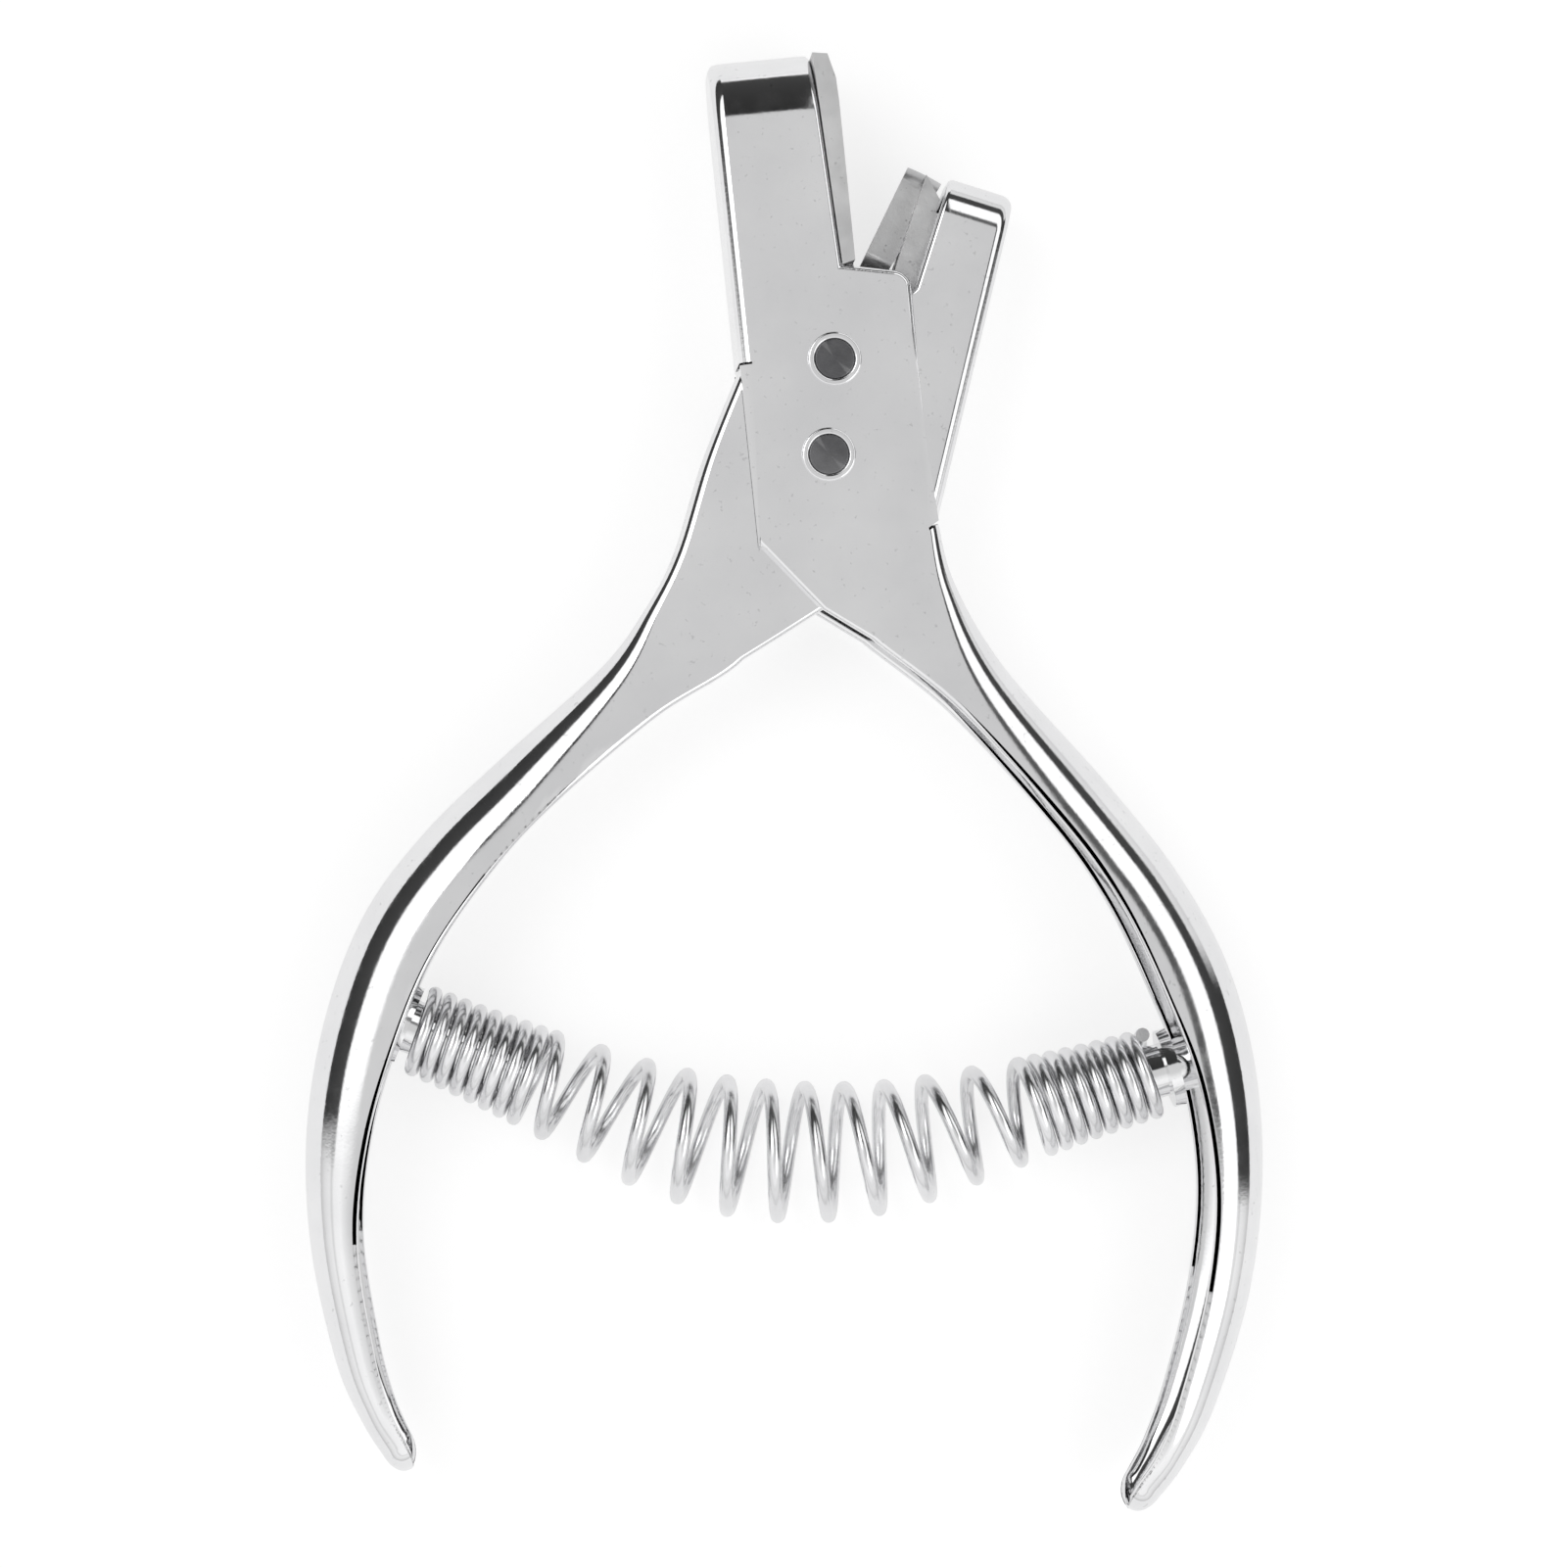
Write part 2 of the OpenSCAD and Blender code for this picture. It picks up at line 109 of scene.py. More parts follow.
ARC_STEPS = 12              # faces round a bend
WEB_STEPS = 3               # faces from a bend to the middle plane
FLANGE_STEPS = 5            # faces across a flange
ROW_STEPS = 10              # steps between two stations
TIP_STEPS = 9
BACK_STEPS = 8              # steps up a jaw's back

# Handle stations: outer x, y, inner x, y, half depth, corner radius
GRIP = [
    (49.0, -96.0, 43.9, -95.0, HALF, 5.4),
    (45.6, -108.0, 41.5, -106.3, 6.8, 4.6),
    (42.4, -114.2, 39.5, -112.3, 6.2, 3.6),
    (40.0, -117.7, 37.5, -116.0, 5.0, 3.0),
]
SWING_DEG = 1.8             # the right handle swings out below the neck
SWING_AT = (44.0, -56.0)


def swung(x, y):
    """A point of the right handle, swung outwards when it lies below the neck."""
    dx, dy = turned((x - SWING_AT[0], y - SWING_AT[1]), SWING_DEG if y < SWING_AT[1] else 0.0)
    return (SWING_AT[0] + dx, SWING_AT[1] + dy)


RIGHT_NECK = [
    (12.0, -16.4, 1.5, -25.2, HALF, 1.3),
    (14.2, -22.6, 5.6, -28.9, HALF, 2.0),
    (20.2, -31.0, 15.4, -35.8, HALF, 4.2),
    (32.1, -42.6, 27.3, -47.2, HALF, 6.1),
    (40.1, -51.5, 33.6, -55.1, HALF, 6.3),
    (45.9, -61.0, 38.5, -64.2, HALF, 6.4),
    (49.2, -72.0, 42.4, -73.4, HALF, 6.3),
    (50.18, -84.0, 44.4, -84.2, HALF, 5.8),
]
LEFT_NECK = [
    (9.75, -1.45, 4.8, -0.6, INNER_HALF, 1.25),
    (12.9, -11.0, 6.5, -10.5, INNER_HALF, 1.25),
    (15.3, -20.9, 3.4, -24.0, INNER_HALF, 1.25),
    (18.1, -27.2, 7.4, -31.8, INNER_HALF, 1.6),
    (22.3, -33.6, 16.3, -38.5, 6.3, 3.2),
    (31.9, -43.4, 26.7, -48.6, 7.0, 5.6),
    (39.7, -51.9, 32.7, -56.1, HALF, 6.3),
    (45.6, -61.0, 37.9, -64.8, HALF, 6.5),
    (49.0, -72.0, 41.1, -73.8, HALF, 6.4),
    (50.2, -84.0, 43.5, -84.2, HALF, 6.0),
]
TIP_LENGTH = 2.78           # rounded point beyond the last station
TIP_TURN = 88               # degrees of that rounding
RELIEF = 0.3                # slit beside the end of each bend
THINNEST = 0.06             # least thickness of a handle's sheet, as a part of SHEET
KEEP_SHARP = 1.7            # cut edges stay sharp this close to the ends of the bends


class HalfSheet:
    """The front half of a folded sheet's outer surface, above its middle plane at z = 0."""

    def __init__(self):
        self.verts = []
        self.faces = []
        self.thin = {}
        self.plain = []

    def add(self, x, y, z):
        self.verts.append((x, y, max(z, 0.0)))
        return len(self.verts) - 1

    def quad_grid(self, rows):
        """Quads between neighbouring rows of vertex numbers."""
        for a, b in zip(rows, rows[1:]):
            for k in range(len(a) - 1):
                self.faces.append((a[k], a[k + 1], b[k + 1], b[k]))


def bend_row(sheet, outer, inward, half, run, rise, drop=0.0):
    """Vertices from the start of a bend, over the back corner, to the middle plane.

    outer is the sheet's outermost point in plan, inward the unit direction to the flange."""
    row = []
    for k in range(ARC_STEPS + 1):
        a = math.radians(90 * k / ARC_STEPS)
        d = run * (1 - math.sin(a))
        row.append(sheet.add(outer[0] + inward[0] * d, outer[1] + inward[1] * d,
                             half - drop - rise * (1 - math.cos(a))))
    corner_z = max(half - drop - rise, 0.0)
    for k in range(1, WEB_STEPS + 1):
        row.append(sheet.add(outer[0], outer[1], corner_z * (1 - k / WEB_STEPS)))
    return row


def handle_rows(stations, flat_until, side):
    """Every cross-section of a handle, from the head to the closed tip.

    side is 1 for the right-hand handle, -1 for the left-hand one."""
    rows = smooth_rows(stations, ROW_STEPS)
    out = []
    for k, (ox, oy, ix, iy, half, radius) in enumerate(rows):
        if k <= flat_until * ROW_STEPS:
            half = stations[0][4]
        out.append([ox, oy, ix, iy, min(half, HALF), radius])
    ox, oy, ix, iy, half, radius = out[-1]
    mx, my, wx, wy = (ox + ix) / 2, (oy + iy) / 2, (ox - ix) / 2, (oy - iy) / 2
    width = math.hypot(wx, wy)
    ax, ay = wy / width, -wx / width
    for k in range(1, TIP_STEPS + 1):
        a = math.radians(TIP_TURN * k / TIP_STEPS)
        reach = TIP_LENGTH * math.sin(a)
        c = math.cos(a)
        out.append([mx + ax * reach + wx * c, my + ay * reach + wy * c,
                    mx + ax * reach - wx * c, my + ay * reach - wy * c, half * c, radius * c])
    return [[side * r[0], r[1], side * r[2], r[3], r[4], r[5]] for r in out]


def handle(sheet, stations, first_flange, side):
    """A handle's bend, web and flange. Returns what the head's outline needs:
    the free edge to bend start of the first flange row, and the bend starts above it."""
    rows = handle_rows(stations, first_flange, side)
    start = first_flange * ROW_STEPS
    bends, flanges = [], []
    for k, (ox, oy, ix, iy, half, radius) in enumerate(rows):
        width = math.hypot(ix - ox, iy - oy)
        inward = ((ix - ox) / width, (iy - oy) / width)
        run, rise = min(radius, width * 0.9), min(radius, half)
        bend = bend_row(sheet, (ox, oy), inward, half, run, rise)
        thickness = max(THINNEST, min(1.0, 0.4 * min(width, 1.6 * half) / SHEET))
        flange = [bend[0]]
        if k >= start:
            for f in range(1, FLANGE_STEPS + 1):
                d = run + (width - run) * f / FLANGE_STEPS
                flange.append(sheet.add(ox + inward[0] * d, oy + inward[1] * d, half))
            flanges.append(flange)
        for v in bend + flange:
            sheet.thin[v] = thickness
        bends.append(bend)
    sheet.quad_grid(bends)
    sheet.quad_grid(flanges)
    # Close the point of the tip
    sheet.faces.append(tuple(flanges[-1][:0:-1] + bends[-1]))
    neck = [b[0] for b in bends[:start]]
    along = (Vector(rows[0][:2]) - Vector(rows[1][:2])).normalized() * RELIEF
    first = sheet.verts[neck[0]]
    tab = [(first[0] + along.x, first[1] + along.y), (rows[0][0] + along.x, rows[0][1] + along.y)]
    sheet.plain.append((rows[0][0], rows[0][1]))
    return list(reversed(flanges[0])), list(reversed(neck)), tab


def jaw(sheet, lean, half, top, top_r, back_of, back_r, free_edge, low, side):
    """A jaw's back, its back bend and its curved top wall.

    Works in the frame turned by lean: back_of(y) and free_edge(y) are x there, and
    low is where the back ends. side is -1 with the back on the left. Returns the
    top row from free edge to bend start, the bend starts down the back, and the
    two plan points just below the back's lower end."""
    inward = turned((-side, 0), lean)
    straight_top = top - top_r
    bends, flanges = [], []
    straight = [low + (straight_top - low) * k / BACK_STEPS for k in range(BACK_STEPS + 1)]
    curved = [90 * k / ARC_STEPS for k in range(1, ARC_STEPS + 1)]
    levels = [(y, 0.0) for y in straight]
    levels += [(straight_top + top_r * math.sin(math.radians(a)), top_r * (1 - math.cos(math.radians(a))))
               for a in curved]
    for k, (y, drop) in enumerate(levels):
        into_corner = max(0.0, y - (top - back_r))
        reach = math.sqrt(max(0.0, back_r ** 2 - into_corner ** 2)) if into_corner > 0 else back_r
        x_start = back_of(y) - side * back_r
        outer = turned((x_start + side * reach, y), lean)
        bend = bend_row(sheet, outer, inward, half, reach, reach, drop)
        bends.append(bend)
        if k >= len(straight) - 1:
            flange = [bend[0]]
            for f in range(1, FLANGE_STEPS + 1):
                x = x_start + (free_edge(y) - x_start) * f / FLANGE_STEPS
                px, py = turned((x, y), lean)
                flange.append(sheet.add(px, py, half - drop))
            flanges.append(flange)
    sheet.quad_grid(bends)
    sheet.quad_grid(flanges)
    # Top wall, down to the middle plane
    wall = [flanges[-1]]
    for k in range(1, WEB_STEPS + 1):
        wall.append([sheet.add(sheet.verts[v][0], sheet.verts[v][1], (half - top_r) * (1 - k / WEB_STEPS))
                     for v in flanges[-1]])
    sheet.quad_grid(wall)
    backs = [b[0] for b in bends[:len(straight) - 1]]
    edge = back_of(low)
    tab = [turned((edge - side * back_r, low - RELIEF), lean), turned((edge, low - RELIEF), lean)]
    sheet.plain.append(turned((edge, low), lean))
    return list(reversed(flanges[0])), list(reversed(backs)), tab


def slanted(x, y, slope):
    """A straight edge through (x, y): gives its x at any height."""
    return lambda height: x + slope * (height - y)


def folded_sheet(name, sheet, outline, half, thickness):
    """Closes the head with a flat plate, mirrors the half, and gives the sheet its thickness."""
    plate = []
    for item in outline:
        plate.append(item if isinstance(item, int) else sheet.add(item[0], item[1], half))
    count = len(sheet.verts)
    verts = [(x * MM, y * MM, (MID + z) * MM) for x, y, z in sheet.verts]
    verts += [(x * MM, y * MM, (MID - z) * MM) for x, y, z in sheet.verts]
    faces = sheet.faces + [tuple(plate)]
    faces += [tuple(v + count for v in reversed(f)) for f in faces]
    mesh = bpy.data.meshes.new(name)
    mesh.from_pydata(verts, [], faces)
    bm = bmesh.new()
    bm.from_mesh(mesh)
    layer = bm.verts.layers.float.new("thin")
    for k, v in enumerate(bm.verts):
        v[layer] = sheet.thin.get(k % count, 1.0)
    bmesh.ops.remove_doubles(bm, verts=bm.verts, dist=2e-6)
    bmesh.ops.dissolve_degenerate(bm, edges=bm.edges, dist=1e-7)
    bmesh.ops.recalc_face_normals(bm, faces=bm.faces)
    biggest = max(bm.faces, key=lambda f: f.calc_area())
    outward = biggest.normal.z * (biggest.calc_center_median().z - MID * MM)
    if outward < 0:
        bmesh.ops.reverse_faces(bm, faces=bm.faces)
    bm.to_mesh(mesh)
    weights = [v[layer] for v in bm.verts]
    bm.free()
    obj = bpy.data.objects.new(name, mesh)
    bpy.context.scene.collection.objects.link(obj)
    group = obj.vertex_groups.new(name="thickness")
    for k, w in enumerate(weights):
        group.add([k], w, "REPLACE")
    solid = obj.modifiers.new("sheet", "SOLIDIFY")
    solid.thickness = thickness * MM
    solid.offset = -1
    solid.use_even_offset = True
    solid.use_quality_normals = True
    solid.vertex_group = group.name
    solid.use_rim = True
    solid.material_offset_rim = 1
    mesh.materials.append(bpy.data.materials.new("face"))
    mesh.materials.append(bpy.data.materials.new("rim"))
    apply_modifiers(obj)
    round_rim(obj, sheet.plain)
    return obj


def apply_modifiers(obj):
    """The object's mesh becomes what its modifiers make of it."""
    deps = bpy.context.evaluated_depsgraph_get()
    deps.update()
    new = bpy.data.meshes.new_from_object(obj.evaluated_get(deps))
    obj.modifiers.clear()
    obj.data = new


def round_rim(obj, plain):
    """Rounds the cut edges of a sheet, which lie round its rim faces, but not near the plain points."""
    bm = bmesh.new()
    bm.from_mesh(obj.data)
    weight = bm.edges.layers.float.new("bevel_weight_edge")
    groups = bm.verts.layers.deform.active
    for e in bm.edges:
        if len(e.link_faces) == 2 and e.calc_face_angle(0) > math.radians(35):
            if 1 in (e.link_faces[0].material_index, e.link_faces[1].material_index):
                near = min(math.hypot(v.co.x / MM - p[0], v.co.y / MM - p[1])
                           for v in e.verts for p in plain)
                if near > KEEP_SHARP:
                    e[weight] = min(v[groups].get(0, 1.0) for v in e.verts) ** 1.5
    bm.to_mesh(obj.data)
    bm.free()
    bevel = obj.modifiers.new("rim", "BEVEL")
    bevel.limit_method = "WEIGHT"
    bevel.width = EDGE_R * MM
    bevel.segments = 3
    bevel.use_clamp_overlap = False
    apply_modifiers(obj)
    obj.data.polygons.foreach_set("material_index", [0] * len(obj.data.polygons))
    obj.data.materials.clear()


def finish_shading(obj, sharp_degrees=50):
    """Smooth shading that keeps large faces flat and creases sharp."""
    bm = bmesh.new()
    bm.from_mesh(obj.data)
    for f in bm.faces:
        f.smooth = True
    for e in bm.edges:
        e.smooth = len(e.link_faces) == 2 and e.calc_face_angle(0) < math.radians(sharp_degrees)
    bm.to_mesh(obj.data)
    bm.free()
    weighted = obj.modifiers.new("normals", "WEIGHTED_NORMAL")
    weighted.mode = "FACE_AREA"
    weighted.weight = 80
    weighted.keep_sharp = True
    apply_modifiers(obj)


# ------------------------------------------------------------------ materials

# Noise scales, in cells per metre
CLOUD_SCALE = 90            # slow changes of tone
RIPPLE_SCALE = 55           # waviness of the surface
SMEAR_SCALE = 400           # changes of roughness
PIT_SCALE = 1500
GRAIN_SCALE = 2600
FLOOR_SCALE = 12


def new_material(name):
    mat = bpy.data.materials.new(name)
    mat.use_nodes = True
    nodes = mat.node_tree.nodes
    nodes.clear()
    out = nodes.new("ShaderNodeOutputMaterial")
    bsdf = nodes.new("ShaderNodeBsdfPrincipled")
    mat.node_tree.links.new(bsdf.outputs["BSDF"], out.inputs["Surface"])
    return mat, mat.node_tree, bsdf


def noise_value(tree, scale, detail=4.0, roughness=0.55, stretch=None):
    """A noise texture in object space; stretch scales the coordinates per axis."""
    coord = tree.nodes.new("ShaderNodeTexCoord")
    vector = coord.outputs["Object"]
    if stretch:
        mapping = tree.nodes.new("ShaderNodeMapping")
        mapping.inputs["Scale"].default_value = stretch
        tree.links.new(vector, mapping.inputs["Vector"])
        vector = mapping.outputs["Vector"]
    tex = tree.nodes.new("ShaderNodeTexNoise")
    tex.inputs["Scale"].default_value = scale
    tex.inputs["Detail"].default_value = detail
    tex.inputs["Roughness"].default_value = roughness
    tree.links.new(vector, tex.inputs["Vector"])
    return tex.outputs["Fac"]


def remap(tree, value, low, high, to_low, to_high):
    node = tree.nodes.new("ShaderNodeMapRange")
    node.inputs["From Min"].default_value = low
    node.inputs["From Max"].default_value = high
    node.inputs["To Min"].default_value = to_low
    node.inputs["To Max"].default_value = to_high
    tree.links.new(value, node.inputs["Value"])
    return node.outputs["Result"]


def mix_colour(tree, factor, first, second):
    node = tree.nodes.new("ShaderNodeMix")
    node.data_type = "RGBA"
    tree.links.new(factor, node.inputs["Factor"])
    for socket, value in ((node.inputs[6], first), (node.inputs[7], second)):
        if isinstance(value, tuple):
            socket.default_value = (*value, 1.0)
        else:
            tree.links.new(value, socket)
    return node.outputs[2]


def add_bump(tree, bsdf, layers):
    """Stacked bumps: each layer is a height value and its depth in metres."""
    normal = None
    for height, depth in layers:
        bump = tree.nodes.new("ShaderNodeBump")
        bump.inputs["Strength"].default_value = 1.0
        bump.inputs["Distance"].default_value = depth
        tree.links.new(height, bump.inputs["Height"])
        if normal:
            tree.links.new(normal, bump.inputs["Normal"])
        normal = bump.outputs["Normal"]
    tree.links.new(normal, bsdf.inputs["Normal"])


def steel(name, light, dark, rough, grain, wave, pits=0.0, stretch=None):
    """Metal whose tone, roughness and surface vary, with a painted highlight that lightens its sharp convex
    edges.

    light and dark are its two tones, rough the range of roughness, grain the
    depth of the fine finish and wave that of the slow ripple, both in metres.
    pits is how dark small pits are, and stretch draws the fine finish out."""
    mat, tree, bsdf = new_material(name)
    bsdf.inputs["Metallic"].default_value = 1.0
    cloud = noise_value(tree, CLOUD_SCALE, 5.0)
    fine = noise_value(tree, GRAIN_SCALE, 3.0, stretch=stretch)
    slow = noise_value(tree, RIPPLE_SCALE, 1.0)
    tone = mix_colour(tree, remap(tree, cloud, 0.3, 0.7, 0.0, 1.0), dark, light)
    # Painted highlight: convex edges, found by pointiness, get a lighter tone, as if they caught the light
    edge = tree.nodes.new("ShaderNodeNewGeometry").outputs["Pointiness"]
    painted_edge_highlight = remap(tree, edge, 0.53, 0.62, 0.0, 0.5)
    tone = mix_colour(tree, painted_edge_highlight, tone, tuple(min(1.0, c * 1.08) for c in light))
    if pits:
        spot = remap(tree, noise_value(tree, PIT_SCALE, 2.0), 0.66, 0.74, 0.0, pits)
        tone = mix_colour(tree, spot, tone, tuple(c * 0.35 for c in dark))
    tree.links.new(tone, bsdf.inputs["Base Color"])
    rough_mix = remap(tree, noise_value(tree, SMEAR_SCALE, 6.0, 0.65), 0.3, 0.75, rough[0], rough[1])
    tree.links.new(rough_mix, bsdf.inputs["Roughness"])
    add_bump(tree, bsdf, [(slow, wave), (fine, grain)])
    return mat


def dress(obj, mat):
    obj.data.materials.clear()
    obj.data.materials.append(mat)


plate_metal = steel("bright_plate", (0.88, 0.88, 0.885), (0.80, 0.80, 0.81), (0.05, 0.14), 0.0000035, 0.00004,
                    pits=0.25)
spring_metal = steel("spring_wire", (0.85, 0.85, 0.86), (0.70, 0.70, 0.71), (0.14, 0.30), 0.000003, 0.00003)
pin_metal = steel("pin_steel", (0.27, 0.27, 0.275), (0.09, 0.09, 0.095), (0.28, 0.5), 0.000016, 0.00003,
                  stretch=(0.25, 1.0, 1.0))
die_metal = steel("die_steel", (0.66, 0.66, 0.66), (0.48, 0.48, 0.485), (0.35, 0.55), 0.00001, 0.00002,
                  pits=0.3, stretch=(1.0, 0.2, 1.0))
tool_metal = steel("tool_steel", (0.62, 0.62, 0.62), (0.42, 0.42, 0.43), (0.3, 0.5), 0.00002, 0.00004,
                   pits=0.5)

# ------------------------------------------------------------------ die lever

DIE_LEAN = 9.5
DIE_TOP = 32.7
DIE_TOP_R = 6.8             # 7.3 in the CAD model, where this sheet would spike
DIE_BACK = -9.9
DIE_WEB_END = 0.6
NOTCH = (0.2, 9.9)
# Free edge of the die jaw, in the jaw's own frame
die_edge = slanted(1.83, 9.73, -0.0408)

die_sheet = HalfSheet()
top_row, back_row, back_tab = jaw(die_sheet, DIE_LEAN, HALF, DIE_TOP, DIE_TOP_R, slanted(DIE_BACK, 0.0, 0.0),
                                  BACK_R, die_edge, DIE_WEB_END, -1)
grip_row, neck_row, neck_tab = handle(die_sheet, [
    swung(row[0], row[1]) + swung(row[2], row[3]) + row[4:] for row in RIGHT_NECK + GRIP], 1, 1)
lower_left = [turned((DIE_BACK, -19.4), DIE_LEAN), (-6.5, -19.9), (-6.1, -20.3), (0.4, -26.2)]
shoulder = [(9.9, -7.1)] + arc((5.7, 7.8), 1.9, 10, 90, 6) + [NOTCH]
die_outline = top_row + back_row + back_tab + lower_left + grip_row + neck_row + neck_tab + shoulder
die_lever = folded_sheet("die_lever_sheet", die_sheet, die_outline, HALF, SHEET)
finish_shading(die_lever)
dress(die_lever, plate_metal)
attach(die_lever, DIE_BODY)
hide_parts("die_lever")

# ------------------------------------------------------------------ punch lever

PUNCH_LEAN = -13.5
PUNCH_TOP = 22.4
PUNCH_TOP_R = 4.2
PUNCH_WEB_END = -12.4
HEEL_R = 19.2
HUB_R = 8.3
# Outside of the punch jaw's back, which leans 3.5 degrees less than its top wall
punch_back = slanted(14.573, 0.891, -0.06116)
# Free edge of the punch jaw, in the jaw's own frame
punch_edge = slanted(5.96, 9.86, 0.0118)

punch_sheet = HalfSheet()
top_row, back_row, back_tab = jaw(punch_sheet, PUNCH_LEAN, INNER_HALF, PUNCH_TOP, PUNCH_TOP_R, punch_back,
                                  BACK_R, punch_edge, PUNCH_WEB_END, 1)
grip_row, neck_row, neck_tab = handle(punch_sheet, LEFT_NECK + GRIP, 3, -1)
heel = arc((0, 0), HEEL_R, -54, -86.5, 8) + [(1.4, -25.4), (0.4, -26.2), (-4.0, -29.4)]
hub = arc((0, 0), HUB_R, 186, 50, 16) + [(5.7, 6.0), (8.1, 8.2)]
punch_outline = top_row + back_row + back_tab + heel + grip_row + neck_row + neck_tab + hub
punch_lever = folded_sheet("punch_lever_sheet", punch_sheet, punch_outline, INNER_HALF, SHEET)
finish_shading(punch_lever)
dress(punch_lever, plate_metal)
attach(punch_lever, PUNCH_BODY)
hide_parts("punch_lever")

# ------------------------------------------------------------------ spring

LEG_SLOPE = math.radians(19.4)     # of the straight legs either side of the bow
BOW_X = 17.0
BOW_BOTTOM = -83.5
SPRING_END = 39.0
WIRE_R = 0.75
END_D, MID_D = 9.8, 15.2           # outer diameters at the ends and at the middle
BARREL_HALF = 40                   # half length over which the barrel shape swells
TIGHT, OPEN = 8, 11                # close turns at each end, and open turns between
TURNS = 2 * TIGHT + OPEN
TIGHT_PITCH = 1.6
TIGHT_LENGTH = TIGHT * TIGHT_PITCH
BOW_R = BOW_X / math.sin(LEG_SLOPE)
LEG_Y = BOW_BOTTOM + BOW_R * (1 - math.cos(LEG_SLOPE))


def axis_at(x):
    """Height and slope of the spring's axis."""
    if abs(x) < BOW_X:
        return BOW_BOTTOM + BOW_R - math.sqrt(BOW_R ** 2 - x * x), math.asin(x / BOW_R)
    return LEG_Y + (abs(x) - BOW_X) * math.tan(LEG_SLOPE), math.copysign(LEG_SLOPE, x)


def coil_x(turn):
    """Distance along x after a number of turns from the left end."""
    half_open = SPRING_END - TIGHT_LENGTH
    if turn < TIGHT:
        return -SPRING_END + turn * TIGHT_LENGTH / TIGHT
    if turn > TURNS - TIGHT:
        return SPRING_END - (TURNS - turn) * TIGHT_LENGTH / TIGHT
    return -half_open + 2 * half_open * (turn - TIGHT) / OPEN


def coil_point(turn):
    """A point on the wire's centre line."""
    x = coil_x(turn)
    y, slope = axis_at(x)
    swell = math.cos(math.radians(90 * x / BARREL_HALF)) ** 2
    radius = (END_D + (MID_D - END_D) * swell) / 2 - WIRE_R
    a = 2 * math.pi * turn
    return Vector((x - math.sin(slope) * radius * math.cos(a), y + math.cos(slope) * radius * math.cos(a),
                   MID + radius * math.sin(a)))


def wire_mesh(name, centre, radius, sides):
    """A round wire along a list of points, in millimetres, closed at both ends."""
    verts, faces = [], []
    last = len(centre) - 1
    normal = Vector((0, 0, 1))
    for k, c in enumerate(centre):
        along = (centre[min(k + 1, last)] - centre[max(k - 1, 0)]).normalized()
        normal = (normal - along * normal.dot(along)).normalized()
        side = along.cross(normal)
        for s in range(sides):
            a = 2 * math.pi * s / sides
            verts.append((c + (normal * math.cos(a) + side * math.sin(a)) * radius) * MM)
    for k in range(last):
        for s in range(sides):
            t = (s + 1) % sides
            faces.append((k * sides + s, k * sides + t, (k + 1) * sides + t, (k + 1) * sides + s))
    faces.append(tuple(range(sides - 1, -1, -1)))
    faces.append(tuple(last * sides + s for s in range(sides)))
    mesh = bpy.data.meshes.new(name)
    mesh.from_pydata(verts, [], faces)
    obj = bpy.data.objects.new(name, mesh)
    bpy.context.scene.collection.objects.link(obj)
    return obj


TURN_STEPS = 40
WIRE_SIDES = 14
spring_line = [coil_point(k / TURN_STEPS) for k in range(TURNS * TURN_STEPS + 1)]
spring = wire_mesh("handle_spring_wire", spring_line, WIRE_R, WIRE_SIDES)
finish_shading(spring)
dress(spring, spring_metal)
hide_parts("handle_spring")
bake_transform(spring)

# ------------------------------------------------------------------ turned parts


def lathe(name, profile, steps=64):
    """A solid turned about z from a profile of (radius, height), in millimetres.

    The profile runs from axis to axis, or ends where it starts."""
    verts, faces = [], []
    count = len(profile)
    for k in range(steps):
        a = 2 * math.pi * k / steps
        verts += [(r * math.cos(a), r * math.sin(a), z) for r, z in profile]
    for k in range(steps):
        n = (k + 1) % steps
        for p in range(count - 1):
            faces.append((k * count + p, n * count + p, n * count + p + 1, k * count + p + 1))
    mesh = bpy.data.meshes.new(name)
    mesh.from_pydata(verts, [], faces)
    bm = bmesh.new()
    bm.from_mesh(mesh)
    bmesh.ops.remove_doubles(bm, verts=bm.verts, dist=1e-4)
    bmesh.ops.recalc_face_normals(bm, faces=bm.faces)
    bm.to_mesh(mesh)
    bm.free()
    obj = bpy.data.objects.new(name, mesh)
    bpy.context.scene.collection.objects.link(obj)
    return obj


def rounded(profile_corners, radius, steps=4):
    """A (radius, height) profile with its corners rounded, apart from those on the axis."""
    out = []
    count = len(profile_corners)
    for k, p in enumerate(profile_corners):
        before, after = Vector(profile_corners[k - 1]), Vector(profile_corners[(k + 1) % count])
        p = Vector(p)
        if p.x < 1e-6:
            out.append(tuple(p))
            continue
        r = min(radius, (before - p).length / 2.2, (after - p).length / 2.2)
        a, b = p + (before - p).normalized() * r, p + (after - p).normalized() * r
        for s in range(steps + 1):
            t = s / steps
            q = a * (1 - t) ** 2 + p * 2 * t * (1 - t) + b * t * t
            out.append(tuple(q))
    return out


def place(obj, at):
    """Moves a piece made about the origin, in millimetres, to its place, and scales it to metres."""
    obj.data.transform(Matrix.Translation(Vector(at) * MM) @ Matrix.Scale(MM, 4))


